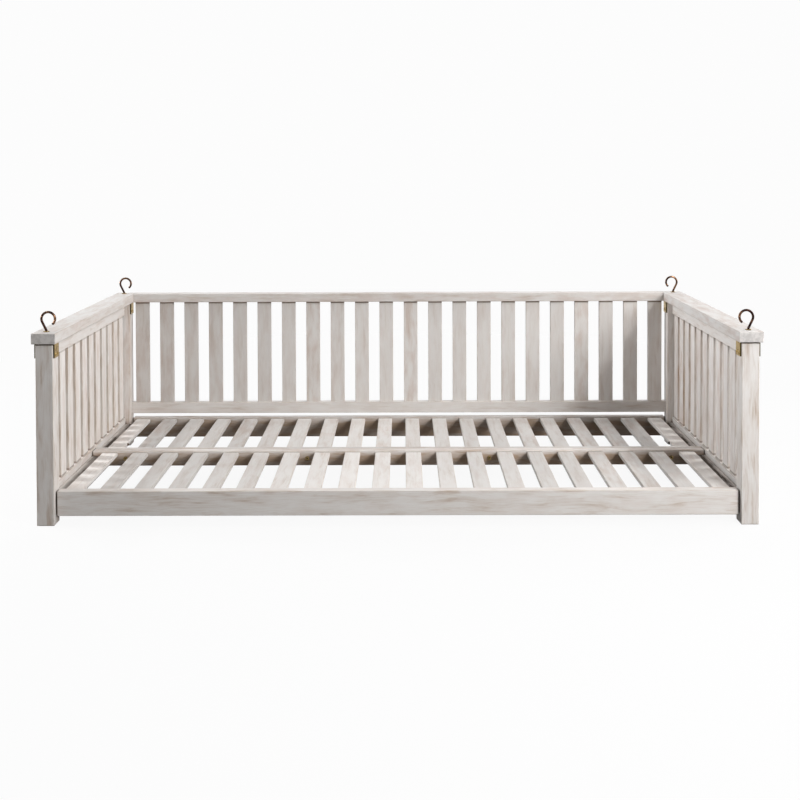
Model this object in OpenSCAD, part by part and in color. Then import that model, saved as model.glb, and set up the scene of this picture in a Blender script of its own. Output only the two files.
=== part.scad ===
// Hanging swing bed: two slatted end panels, a slatted back panel and a slatted
// deck in two frames, hung by four open hooks that turn in strapped posts.
// X runs along the bed, Y from front to back and Z up. The origin is on the
// floor under the middle of the bed. All sizes are in millimetres.

/* [Frame] */
// Length over the outer faces of the posts
frame_len = 2060; // [1800:10:2300]
// Depth over the front and back faces of the posts
frame_dep = 925; // [840:5:1080]
// Side of the square posts
post_w = 50; // [46:1:60]
// Height of the posts, floor to top
post_h = 518; // [470:2:620]

/* [Cap rails] */
// Thickness of the cap rails
cap_h = 31; // [24:1:40]
// Width of the cap rail on each end panel
end_cap_w = 70; // [64:1:84]
// Overhang of the end caps beyond the outer faces of the posts
cap_side_lip = 9; // [6:1:12]
// Overhang of the end caps beyond the front and back faces of the posts
cap_end_lip = 10; // [0:1:16]
// Width of the cap rail on the back panel
back_cap_w = 46; // [40:1:56]

/* [End panels] */
// Distance from the posts' inner faces to the rails between them
end_rail_recess = 18; // [14:1:20]
// Thickness of the rails between the end posts
end_rail_t = 25; // [22:1:26]
// Height of the upper rail, under the cap
upper_rail_h = 45; // [38:1:60]
// Height above the floor of the lower rail's top edge
lower_rail_top = 100; // [97:1:120]
// Height of the lower rail
lower_rail_h = 70; // [56:1:86]
// Number of slats in each end panel
end_slat_n = 11; // [8:1:12]
// Thickness of the end slats
end_slat_t = 18; // [14:1:19]
// Gap between the end slats and the posts
end_slat_gap = 11.5; // [6:0.5:20]

/* [Back panel] */
// Thickness of the back lower rail
back_rail_t = 26; // [20:1:30]
// Height of the back lower rail
back_rail_h = 40; // [34:1:60]
// Height above the floor of the back lower rail's underside
back_rail_bottom = 113; // [104:1:140]
// Distance from the posts' back faces to the back lower rail
back_rail_inset = 2; // [0:1:8]
// Number of slats in the back panel
back_slat_n = 22; // [16:1:24]
// Thickness of the back slats
back_slat_t = 14; // [10:1:16]
// Gap between the back slats and the posts
back_slat_gap = 15; // [8:1:24]

/* [Slats] */
// Width of every slat
slat_w = 50; // [40:1:54]
// Thickness of the deck slats
deck_slat_t = 12; // [10:1:16]
// Depth to which a slat's end is housed in its rail
slat_housing = 10; // [6:1:12]

/* [Deck] */
// Height above the floor of the deck rails' underside
deck_bottom = 24; // [12:1:36]
// Height of the front and rear deck rails
deck_rail_h = 71; // [64:1:76]
// Thickness of the deck rails
deck_rail_t = 30; // [26:1:34]
// Height of the two middle rails, from their shared top edge
middle_rail_h = 48; // [44:1:60]
// Thickness of the rear frame's middle rail
rear_middle_t = 18; // [16:1:28]
// Distance from the posts' front faces to the front deck rail
deck_front_inset = 14; // [4:1:20]
// Depth of the front deck frame, over its two rails
front_frame_dep = 460; // [380:5:520]
// Distance that the rear deck rail stands out behind the posts
deck_back_lip = 9; // [0:1:10]
// Gap between the deck rails and the posts, at each end
deck_end_gap = 4; // [2:1:8]
// Gap between the middle rails and the end panels' lower rails
middle_end_gap = 2; // [1:1:6]
// Gap between the deck's outer slats and the posts
deck_slat_gap = 17; // [10:1:26]
// Number of slats in each deck frame
deck_slat_n = 20; // [16:1:21]
// Depth of the slats' top faces below the rails' top edges
deck_slat_drop = 4; // [2:1:8]
// Width of the cleats that carry the deck's outer slats
cleat_w = 55; // [50:1:60]
// Height of the cleats
cleat_h = 32; // [24:1:40]

/* [Straps] */
// Thickness of the metal strap over each post
strap_t = 4; // [3:0.5:5]
// Width of the strap
strap_w = 40; // [34:1:44]
// Length of each strap leg below the post's top
strap_leg = 38; // [34:1:50]
// Distance between the two screws in a leg
strap_screw_pitch = 20; // [18:1:24]
// Height of the strap screws above the end of the leg
strap_screw_up = 10; // [8:1:12]

/* [Hooks] */
// Diameter of the hook's wire
hook_d = 7; // [6:0.5:8.5]
// Radius of the hook's loop, to the middle of the wire
hook_r = 19.5; // [16:0.5:22]
// Height of the loop's centre above the cap rail
hook_rise = 37; // [34:0.5:44]
// Distance of the loop's centre from the shank's axis
hook_offset = 5.5; // [4:0.5:7]
// Angle from the loop's inner side down to the hook's tip, in degrees
hook_close = 50; // [30:1:56]
// Diameter of the washer at the foot of the hook
washer_d = 17; // [15:0.5:20]
// Thickness of that washer
washer_t = 2.5; // [1.5:0.5:3]

/* [Fixings] */
// Diameter of the wooden dowels
dowel_d = 8; // [6:1:10]
// Diameter of the bolts that join the two deck frames
bolt_d = 6; // [5:0.5:8]
// Diameter of those bolts' round heads
bolt_head_d = 13; // [11:0.5:16]
// Diameter of the wood screws
screw_d = 4; // [3:0.5:4.5]

/* [Hidden] */
$fn = 48;

WOOD = "tan";
BRASS = "goldenrod";
BRONZE = "sienna";
STEEL = "silver";

// Joinery: a tenon is smaller than its mortise by fit all round
fit = 0.15;
cut = 1;
upper_tenon = 11;
lower_tenon = 25;
tenon_t = 14;
tenon_shoulder = 6;

// Overall faces and levels
half_len = frame_len / 2;
half_dep = frame_dep / 2;
inner_x = half_len - post_w;
inner_y = half_dep - post_w;
post_x = half_len - post_w / 2;
post_y = half_dep - post_w / 2;
cap_z = post_h + strap_t;
top_z = cap_z + cap_h;

// End panels
cap_outer_x = half_len + cap_side_lip;
cap_inner_x = cap_outer_x - end_cap_w;
end_rail_x = inner_x + end_rail_recess;
end_rail_mid_x = end_rail_x + end_rail_t / 2;
upper_rail_z = cap_z - upper_rail_h;
lower_rail_z = lower_rail_top - lower_rail_h;
end_slat_pitch = (2 * inner_y - 2 * end_slat_gap - slat_w) / (end_slat_n - 1);
end_slat_y0 = -inner_y + end_slat_gap + slat_w / 2;
end_slat_low = lower_rail_top - slat_housing;
end_slat_high = upper_rail_z + slat_housing;

// Back panel
back_rail_y = half_dep - back_rail_inset - back_rail_t;
back_rail_mid_y = back_rail_y + back_rail_t / 2;
back_rail_top = back_rail_bottom + back_rail_h;
back_tenon_top = back_rail_top - tenon_shoulder;
back_cap_y = half_dep + cap_end_lip - back_cap_w;
back_slat_pitch = (2 * inner_x - 2 * back_slat_gap - slat_w) / (back_slat_n - 1);
back_slat_x0 = -inner_x + back_slat_gap + slat_w / 2;
back_slat_low = back_rail_top - slat_housing;
back_slat_high = cap_z + slat_housing;

// Deck
deck_top = deck_bottom + deck_rail_h;
deck_slat_top = deck_top - deck_slat_drop;
deck_slat_z = deck_slat_top - deck_slat_t;
front_rail_y = -half_dep + deck_front_inset;
middle_y = front_rail_y + front_frame_dep;
rear_rail_y = half_dep + deck_back_lip - deck_rail_t;
middle_rail_z = deck_top - middle_rail_h;
deck_half = inner_x - deck_end_gap;
middle_half = end_rail_x - middle_end_gap;
deck_slat_pitch = (2 * inner_x - 2 * deck_slat_gap - slat_w) / (deck_slat_n - 1);
deck_slat_x0 = -inner_x + deck_slat_gap + slat_w / 2;
cleat_z = deck_slat_z - cleat_h;
cleat_x = end_rail_x - cleat_w;
cleat_clear = 1;

// Bolts stand in the middle of gaps between deck slats
bolt_gaps = [for (k = [0:3]) floor((deck_slat_n - 2) * k / 3 + 0.5)];
bolt_z = middle_rail_z + middle_rail_h / 2;
bolt_grip = deck_rail_t + rear_middle_t;
bolt_head_h = 4;
bolt_washer_t = 1.5;
bolt_nut_h = 5;
bolt_nut_flats = 10;
bolt_tail = 2;
bolt_clear = 0.3;

// Screws
screw_head_d = 8;
screw_head_h = 2;
screw_len = 20;
screw_gap = 0.05;
cleat_screw_n = 3;
cleat_screw_d = 5;
cleat_screw_bite = 16;
cleat_screw_end = 60;
cleat_bore_d = 10;
cleat_bore_deep = 12;
slat_screw_end = 90;
slat_screw_bite = 7;
side_screw_back = 93;
side_screw_len = 16;
side_head_d = 9;
side_head_h = 4;

// Dowels
cap_dowel_n = 3;
dowel_in_rail = 20;
dowel_in_cap = 18;
dowel_tip = 0.5;
back_dowel_gap = 20;

// Hooks and their nuts
bend_r = 5;
bend_gap = 0.15;
neck_slim = 0.02;
neck_lap = 0.3;
shank_clear = 0.08;
cap_hole_clear = 0.5;
nut_h = 6.5;
nut_flats = 13;
nut_gap = 0.3;
nut_pocket_d = 20;
nut_pocket_deep = 15;
shank_tail = 3;
bend_z = washer_t + bend_gap;
bend_span = norm([hook_offset + bend_r, hook_rise - bend_z]);
hook_lean = asin((hook_r + bend_r) / bend_span) - atan((hook_offset + bend_r) / (hook_rise - bend_z));
neck_len = sqrt(pow(bend_span, 2) - pow(hook_r + bend_r, 2));
neck_x = bend_r * (1 - cos(hook_lean));
neck_z = bend_z + bend_r * sin(hook_lean);
hook_sweep = 180 + hook_close + hook_lean;
shank_bottom = post_h - nut_gap - nut_h - shank_tail;

// A block between two opposite corners
module block(low, high) {
    translate(low) cube(high - low);
}

// A cylinder along X, Y or Z that starts at a point
module rod_x(at, d, len) {
    translate(at) rotate([0, 90, 0]) cylinder(d = d, h = len);
}

module rod_y(at, d, len) {
    translate(at) rotate([-90, 0, 0]) cylinder(d = d, h = len);
}

module rod_z(at, d, len) {
    translate(at) cylinder(d = d, h = len);
}

// The right front quarter is drawn, and mirrored for the others
module side(right) {
    mirror([right ? 0 : 1, 0, 0]) children();
}

module place(right, front) {
    side(right) mirror([0, front ? 0 : 1, 0]) children();
}

module corners() {
    for (right = [false, true], front = [true, false]) place(right, front) children();
}

// ---- Posts ----

// Mortise for a rail that comes to the post from behind, as drawn at the front
module end_mortise(low_z, high_z, depth) {
    block([end_rail_mid_x - tenon_t / 2 - fit, -inner_y - depth - fit, low_z + tenon_shoulder - fit],
          [end_rail_mid_x + tenon_t / 2 + fit, -inner_y + cut, high_z - tenon_shoulder + fit]);
}

module back_mortise() {
    block([inner_x - cut, -back_rail_mid_y - tenon_t / 2 - fit, back_rail_bottom + tenon_shoulder - fit],
          [inner_x + lower_tenon + fit, -back_rail_mid_y + tenon_t / 2 + fit, back_tenon_top + fit]);
}

module strap_screw_holes(d) {
    for (s = [-1, 1]) {
        y = -post_y + s * strap_screw_pitch / 2;
        rod_x([inner_x - cut, y, strap_screw_z()], d, screw_len + cut);
        rod_x([half_len - screw_len, y, strap_screw_z()], d, screw_len + cut);
    }
}

function strap_screw_z() = post_h - strap_leg + strap_screw_up;

module quarter_post(front) {
    difference() {
        block([inner_x, -half_dep, 0], [half_len, -inner_y, post_h]);
        end_mortise(lower_rail_z, lower_rail_top, lower_tenon);
        end_mortise(upper_rail_z, post_h, upper_tenon);
        rod_z([post_x, -post_y, post_h - nut_pocket_deep], nut_pocket_d, nut_pocket_deep + cut);
        strap_screw_holes(screw_d + 2 * screw_gap);
        if (!front) back_mortise();
    }
}

module post(right, front) {
    color(WOOD) place(right, front) quarter_post(front);
}

// ---- End panels ----

module end_cap(right) {
    color(WOOD) side(right) difference() {
        block([cap_inner_x, -half_dep - cap_end_lip, cap_z], [cap_outer_x, half_dep + cap_end_lip, top_z]);
        for (y = [-post_y, post_y]) {
            rod_z([post_x, y, cap_z - cut], hook_d + 2 * cap_hole_clear, cap_h + 2 * cut);
        }
        cap_dowel_row(cap_z - cut, dowel_in_cap + dowel_tip + cut, dowel_d);
        for (y = back_dowel_ys()) {
            rod_x([cap_inner_x - cut, y, dowel_z()], dowel_d, dowel_in_cap + dowel_tip + cut);
        }
    }
}

// Vertical dowels between an upper rail and its cap
module cap_dowel_row(z, len, d) {
    for (k = [0:cap_dowel_n - 1]) {
        rod_z([end_rail_mid_x, -inner_y + 2 * inner_y * (k + 0.5) / cap_dowel_n, z], d, len);
    }
}

function end_slat_y(k) = end_slat_y0 + k * end_slat_pitch;

// The end panel's slats, grown all round by a clearance
module end_slat_set(grow) {
    half_t = end_slat_t / 2 + grow;
    half_w = slat_w / 2 + grow;
    for (k = [0:end_slat_n - 1]) {
        block([end_rail_mid_x - half_t, end_slat_y(k) - half_w, end_slat_low - grow],
              [end_rail_mid_x + half_t, end_slat_y(k) + half_w, end_slat_high + grow]);
    }
}

// A rail between the end posts with a tenon at each end
module end_rail_blank(low_z, high_z, tenon_top, depth) {
    block([end_rail_x, -inner_y, low_z], [end_rail_x + end_rail_t, inner_y, high_z]);
    block([end_rail_mid_x - tenon_t / 2, -inner_y - depth, low_z + tenon_shoulder],
          [end_rail_mid_x + tenon_t / 2, inner_y + depth, tenon_top - tenon_shoulder]);
}

module upper_rail(right) {
    color(WOOD) side(right) difference() {
        end_rail_blank(upper_rail_z, cap_z, post_h, upper_tenon);
        end_slat_set(fit);
        cap_dowel_row(cap_z - dowel_in_rail - dowel_tip, dowel_in_rail + dowel_tip + cut, dowel_d);
    }
}

module lower_rail(right) {
    color(WOOD) side(right) difference() {
        end_rail_blank(lower_rail_z, lower_rail_top, lower_rail_top, lower_tenon);
        end_slat_set(fit);
        cleat_screw_set(cleat_screw_d + 2 * screw_gap, cleat_screw_bite, cut);
    }
}

module end_slats(right) {
    color(WOOD) side(right) end_slat_set(0);
}

// ---- Back panel ----

function back_slat_x(k) = back_slat_x0 + k * back_slat_pitch;

module back_slat_set(grow) {
    half_t = back_slat_t / 2 + grow;
    half_w = slat_w / 2 + grow;
    for (k = [0:back_slat_n - 1]) {
        block([back_slat_x(k) - half_w, back_rail_mid_y - half_t, back_slat_low - grow],
              [back_slat_x(k) + half_w, back_rail_mid_y + half_t, back_slat_high + grow]);
    }
}

function dowel_z() = cap_z + cap_h / 2;

function back_dowel_ys() = [for (s = [-1, 1]) back_cap_y + back_cap_w / 2 + s * back_dowel_gap / 2];

module back_cap_rail() {
    color(WOOD) difference() {
        block([-cap_inner_x, back_cap_y, cap_z], [cap_inner_x, half_dep + cap_end_lip, top_z]);
        back_slat_set(fit);
        corner_dowels(dowel_in_rail + dowel_tip, cut);
    }
}

// Dowels along X between the back cap and the end caps, drawn at both ends
module corner_dowels(inward, outward) {
    for (right = [false, true]) side(right) {
        for (y = back_dowel_ys()) rod_x([cap_inner_x - inward, y, dowel_z()], dowel_d, inward + outward);
    }
}

module back_lower_rail() {
    color(WOOD) difference() {
        union() {
            block([-inner_x, back_rail_y, back_rail_bottom],
                  [inner_x, back_rail_y + back_rail_t, back_rail_top]);
            block([-inner_x - lower_tenon, back_rail_mid_y - tenon_t / 2, back_rail_bottom + tenon_shoulder],
                  [inner_x + lower_tenon, back_rail_mid_y + tenon_t / 2, back_tenon_top]);
        }
        back_slat_set(fit);
    }
}

module back_slats() {
    color(WOOD) back_slat_set(0);
}

// ---- Deck ----

function deck_slat_x(k) = deck_slat_x0 + k * deck_slat_pitch;

module deck_slat_set(y0, y1, grow) {
    for (k = [0:deck_slat_n - 1]) {
        block([deck_slat_x(k) - slat_w / 2 - grow, y0 - grow, deck_slat_z - grow],
              [deck_slat_x(k) + slat_w / 2 + grow, y1 + grow, deck_slat_top + grow]);
    }
}

module front_slat_set(grow) {
    deck_slat_set(front_rail_y + deck_rail_t - slat_housing, middle_y - deck_rail_t + slat_housing, grow);
}

module rear_slat_set(grow) {
    deck_slat_set(middle_y + rear_middle_t - slat_housing, rear_rail_y + slat_housing, grow);
}

module deck_front_rail() {
    color(WOOD) difference() {
        block([-deck_half, front_rail_y, deck_bottom], [deck_half, front_rail_y + deck_rail_t, deck_top]);
        front_slat_set(fit);
    }
}

module deck_rear_rail() {
    color(WOOD) difference() {
        block([-deck_half, rear_rail_y, deck_bottom], [deck_half, rear_rail_y + deck_rail_t, deck_top]);
        rear_slat_set(fit);
    }
}

module at_bolts() {
    for (k = bolt_gaps) translate([deck_slat_x(k) + deck_slat_pitch / 2, 0, bolt_z]) children();
}

module bolt_holes() {
    at_bolts() rod_y([0, middle_y - deck_rail_t - cut, 0], bolt_d + 2 * bolt_clear, bolt_grip + 2 * cut);
}

module deck_middle_rail_front() {
    color(WOOD) difference() {
        block([-middle_half, middle_y - deck_rail_t, middle_rail_z], [middle_half, middle_y, deck_top]);
        front_slat_set(fit);
        bolt_holes();
    }
}

module deck_middle_rail_rear() {
    color(WOOD) difference() {
        block([-middle_half, middle_y, middle_rail_z], [middle_half, middle_y + rear_middle_t, deck_top]);
        rear_slat_set(fit);
        bolt_holes();
    }
}

module deck_front_slats() {
    color(WOOD) difference() {
        front_slat_set(0);
        deck_screw_set(screw_d + 2 * screw_gap, true);
    }
}

module deck_rear_slats() {
    color(WOOD) difference() {
        rear_slat_set(0);
        deck_screw_set(screw_d + 2 * screw_gap, false);
        side_screw_shanks(screw_d + 2 * screw_gap, cut);
    }
}

// Front and rear ends of the cleat under the front frame or the rear frame
function cleat_y(front) = front ? -inner_y + cleat_clear : middle_y + rear_middle_t + cleat_clear;
function cleat_end(front) = front ? middle_y - deck_rail_t - cleat_clear : inner_y - cleat_clear;

module deck_cleats(right) {
    color(WOOD) side(right) difference() {
        for (front = [true, false]) {
            block([cleat_x, cleat_y(front), cleat_z], [end_rail_x, cleat_end(front), deck_slat_z]);
        }
        cleat_screw_set(cleat_screw_d + 2 * screw_gap, cut, cleat_w + cut);
        cleat_screw_bores();
        for (front = [true, false]) {
            deck_screw_column(front, screw_d + 2 * screw_gap, cleat_z - cut, cleat_h + 2 * cut);
            deck_screw_column(front, cleat_bore_d, cleat_z - cut, cleat_bore_deep + cut);
        }
    }
}

// ---- Deck fixings ----

function cleat_screw_y(front, k) = cleat_y(front) + cleat_screw_end
    + k * (cleat_end(front) - cleat_y(front) - 2 * cleat_screw_end) / (cleat_screw_n - 1);

function cleat_screw_z() = cleat_z + cleat_h / 2;

// Rods along X through the face between a cleat and its rail
module cleat_screw_set(d, outward, inward) {
    for (front = [true, false], k = [0:cleat_screw_n - 1]) {
        rod_x([end_rail_x - inward, cleat_screw_y(front, k), cleat_screw_z()], d, inward + outward);
    }
}

module cleat_screw_bores() {
    for (front = [true, false], k = [0:cleat_screw_n - 1]) {
        rod_x([cleat_x - cut, cleat_screw_y(front, k), cleat_screw_z()], cleat_bore_d, cleat_bore_deep + cut);
    }
}

module cleat_screws() {
    shank = cleat_w - cleat_bore_deep;
    color(STEEL) for (right = [false, true]) side(right) {
        cleat_screw_set(cleat_screw_d, cleat_screw_bite - dowel_tip, shank);
        for (front = [true, false], k = [0:cleat_screw_n - 1]) {
            rod_x([end_rail_x - shank - screw_head_h, cleat_screw_y(front, k), cleat_screw_z()],
                  screw_head_d, screw_head_h);
        }
    }
}

// Screws from below, through a cleat into the outer slat
module deck_screw_column(front, d, z, len) {
    for (y = [cleat_y(front) + slat_screw_end, cleat_end(front) - slat_screw_end]) {
        rod_z([(cleat_x + inner_x - deck_slat_gap) / 2, y, z], d, len);
    }
}

module deck_screw_set(d, front) {
    for (right = [false, true]) side(right) {
        deck_screw_column(front, d, deck_slat_z - cut, slat_screw_bite + cut);
    }
}

module deck_slat_screws() {
    head_z = cleat_z + cleat_bore_deep;
    color(STEEL) for (right = [false, true], front = [true, false]) side(right) {
        deck_screw_column(front, screw_d, head_z, deck_slat_z - head_z + slat_screw_bite - dowel_tip);
        deck_screw_column(front, screw_head_d, head_z - screw_head_h, screw_head_h);
    }
}

// Screws in the inner edges of the rear frame's outer slats
function side_screw_x() = -deck_slat_x0 - slat_w / 2;
function side_screw_y() = middle_y + side_screw_back;
function side_screw_z() = deck_slat_z + deck_slat_t / 2;

module side_screw_shanks(d, extra) {
    for (right = [false, true]) side(right) {
        rod_x([side_screw_x() - extra, side_screw_y(), side_screw_z()], d, side_screw_len + extra);
    }
}

module slat_side_screws() {
    color(BRONZE) {
        side_screw_shanks(screw_d, 0);
        for (right = [false, true]) side(right) {
            rod_x([side_screw_x() - side_head_h, side_screw_y(), side_screw_z()], side_head_d, side_head_h);
        }
    }
}

module deck_bolts() {
    len = bolt_grip + bolt_washer_t + bolt_nut_h + bolt_tail;
    color(BRASS) at_bolts() {
        rod_y([0, middle_y - deck_rail_t, 0], bolt_d, len);
        rod_y([0, middle_y - deck_rail_t - bolt_head_h, 0], bolt_head_d, bolt_head_h);
    }
}

module deck_bolt_washers() {
    color(STEEL) at_bolts() difference() {
        rod_y([0, middle_y + rear_middle_t, 0], bolt_head_d, bolt_washer_t);
        rod_y([0, middle_y + rear_middle_t - cut, 0], bolt_d + 2 * screw_gap, bolt_washer_t + 2 * cut);
    }
}

module deck_bolt_nuts() {
    color(STEEL) at_bolts() translate([0, middle_y + rear_middle_t + bolt_washer_t, 0]) {
        rotate([-90, 0, 0]) hex_nut(bolt_nut_flats, bolt_nut_h, bolt_d + 2 * screw_gap);
    }
}

module hex_nut(flats, h, bore) {
    difference() {
        cylinder(d = flats / cos(30), h = h, $fn = 6);
        translate([0, 0, -cut]) cylinder(d = bore, h = h + 2 * cut);
    }
}

// ---- Straps ----

module quarter_strap() {
    low = post_h - strap_leg;
    difference() {
        block([inner_x - strap_t, -post_y - strap_w / 2, low],
              [half_len + strap_t, -post_y + strap_w / 2, cap_z]);
        block([inner_x, -post_y - strap_w, low - cut], [half_len, -post_y + strap_w, post_h]);
        rod_z([post_x, -post_y, post_h - cut], hook_d + 2 * shank_clear, strap_t + 2 * cut);
        for (s = [-1, 1]) {
            rod_x([inner_x - strap_t - cut, -post_y + s * strap_screw_pitch / 2, strap_screw_z()],
                  screw_d + 2 * screw_gap, post_w + 2 * strap_t + 2 * cut);
        }
    }
}

module strap(right, front) {
    color(BRASS) place(right, front) quarter_strap();
}

module strap_screws() {
    len = screw_len + strap_t - dowel_tip;
    color(BRASS) corners() for (s = [-1, 1]) {
        y = -post_y + s * strap_screw_pitch / 2;
        rod_x([inner_x - strap_t, y, strap_screw_z()], screw_d, len);
        rod_x([inner_x - strap_t - screw_head_h, y, strap_screw_z()], screw_head_d, screw_head_h);
        rod_x([half_len - screw_len + dowel_tip, y, strap_screw_z()], screw_d, len);
        rod_x([half_len + strap_t, y, strap_screw_z()], screw_head_d, screw_head_h);
    }
}

// ---- Hooks ----

// A bent length of wire: an arc in the XZ plane about a centre
module wire_arc(centre, r, from, sweep) {
    translate(centre) rotate([90, 0, 0]) rotate([0, 0, from]) {
        rotate_extrude(angle = sweep) translate([r, 0]) circle(d = hook_d);
    }
}

module hook_wire() {
    // Shank, from below its nut up to the bend
    rod_z([0, 0, shank_bottom - top_z], hook_d, bend_z + top_z - shank_bottom);
    // Bend outwards, about a centre on the outboard side
    wire_arc([bend_r, 0, bend_z], bend_r, 180 - hook_lean, hook_lean);
    // Straight neck, a hair slimmer than the arcs and let into both
    translate([neck_x, 0, neck_z]) rotate([0, hook_lean, 0]) translate([0, 0, -neck_lap]) {
        cylinder(d = hook_d - 2 * neck_slim, h = neck_len + 2 * neck_lap);
    }
    // Open loop over the top, to the tip on the inboard side
    wire_arc([-hook_offset, 0, hook_rise], hook_r, -hook_lean, hook_sweep);
}

module hook(right, front) {
    color(BRONZE) place(right, front) translate([post_x, -post_y, top_z]) hook_wire();
}

module hook_nut(right, front) {
    color(STEEL) place(right, front) translate([post_x, -post_y, post_h - nut_gap - nut_h]) {
        hex_nut(nut_flats, nut_h, hook_d);
    }
}

module hook_washers() {
    color(BRASS) corners() difference() {
        rod_z([post_x, -post_y, top_z], washer_d, washer_t);
        rod_z([post_x, -post_y, top_z - cut], hook_d + 2 * shank_clear, washer_t + 2 * cut);
    }
}

// ---- Dowels ----

module cap_dowels() {
    color(WOOD) for (right = [false, true]) side(right) {
        cap_dowel_row(cap_z - dowel_in_rail, dowel_in_rail + dowel_in_cap, dowel_d);
    }
}

module back_cap_dowels() {
    color(WOOD) corner_dowels(dowel_in_rail, dowel_in_cap);
}

post(false, true);  // left_front_post
post(false, false);  // left_rear_post
post(true, true);  // right_front_post
post(true, false);  // right_rear_post
end_cap(false);  // left_cap_rail
end_cap(true);  // right_cap_rail
upper_rail(false);  // left_upper_rail
upper_rail(true);  // right_upper_rail
lower_rail(false);  // left_lower_rail
lower_rail(true);  // right_lower_rail
end_slats(false);  // left_slats
end_slats(true);  // right_slats
back_cap_rail();
back_lower_rail();
back_slats();
deck_front_rail();
deck_middle_rail_front();
deck_middle_rail_rear();
deck_rear_rail();
deck_front_slats();
deck_rear_slats();
deck_cleats(false);  // left_deck_cleats
deck_cleats(true);  // right_deck_cleats
deck_bolts();
deck_bolt_washers();
deck_bolt_nuts();
cleat_screws();
deck_slat_screws();
slat_side_screws();
strap(false, true);  // left_front_strap
strap(false, false);  // left_rear_strap
strap(true, true);  // right_front_strap
strap(true, false);  // right_rear_strap
strap_screws();
hook(false, true);  // left_front_hook
hook(false, false);  // left_rear_hook
hook(true, true);  // right_front_hook
hook(true, false);  // right_rear_hook
hook_nut(false, true);  // left_front_hook_nut
hook_nut(false, false);  // left_rear_hook_nut
hook_nut(true, true);  // right_front_hook_nut
hook_nut(true, false);  // right_rear_hook_nut
hook_washers();
cap_dowels();
back_cap_dowels();
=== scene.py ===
"""Looks of a hanging swing bed: whitewashed boards, brass straps and bronze hooks.

Each sub-assembly is a class with its sizes and with methods that build its
meshes and dress them. Lengths are in metres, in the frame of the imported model:
X runs along the bed, Y from front to back and Z up. Angles are in degrees.
"""

import logging
import math
from collections.abc import Callable, Iterable
from dataclasses import dataclass, field
from enum import Enum
from typing import Any

import bmesh
import bpy
from mathutils import Matrix, Vector, noise

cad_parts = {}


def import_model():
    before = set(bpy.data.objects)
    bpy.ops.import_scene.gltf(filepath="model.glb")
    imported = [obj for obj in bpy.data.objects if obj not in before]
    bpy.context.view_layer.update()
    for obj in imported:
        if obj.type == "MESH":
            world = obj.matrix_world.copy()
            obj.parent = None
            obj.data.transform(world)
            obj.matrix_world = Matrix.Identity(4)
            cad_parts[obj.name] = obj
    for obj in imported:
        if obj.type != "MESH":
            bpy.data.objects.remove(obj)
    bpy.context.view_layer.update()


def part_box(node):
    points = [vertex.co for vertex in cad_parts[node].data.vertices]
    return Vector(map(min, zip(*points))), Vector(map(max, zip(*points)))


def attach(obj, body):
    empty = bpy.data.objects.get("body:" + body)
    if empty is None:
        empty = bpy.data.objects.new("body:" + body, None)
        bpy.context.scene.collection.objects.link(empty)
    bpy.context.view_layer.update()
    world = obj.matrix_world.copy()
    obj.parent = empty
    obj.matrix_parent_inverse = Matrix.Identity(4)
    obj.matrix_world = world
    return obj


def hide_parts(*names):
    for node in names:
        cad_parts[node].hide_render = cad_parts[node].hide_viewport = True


LOG = logging.getLogger("swing_bed")
FRAME_BODY = "frame"
SIDES = ("left", "right")
CORNERS = tuple(f"{side}_{end}" for side in SIDES for end in ("front", "rear"))
HOOKS = tuple(f"{corner}_hook" for corner in CORNERS)
MM = 0.001
ALONG_X = Vector((1.0, 0.0, 0.0))
ALONG_Y = Vector((0.0, 1.0, 0.0))

Colour = tuple[float, float, float]
Place = tuple[float, float, float]
Outline = list[tuple[float, float]]
Box = tuple[Vector, Vector]
Sockets = dict[str | int, Any]


class Axis(Enum):
    """The direction in which a board's grain runs."""

    X = 0
    Y = 1
    Z = 2


# -------- meshes


def linked(name: str, data: Any) -> bpy.types.Object:
    """Puts a new object in the scene.

    Args:
        name: Its name.
        data: Its mesh, light or camera.

    Returns:
        The object, at the origin.
    """
    thing = bpy.data.objects.new(name, data)
    bpy.context.scene.collection.objects.link(thing)
    return thing


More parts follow.
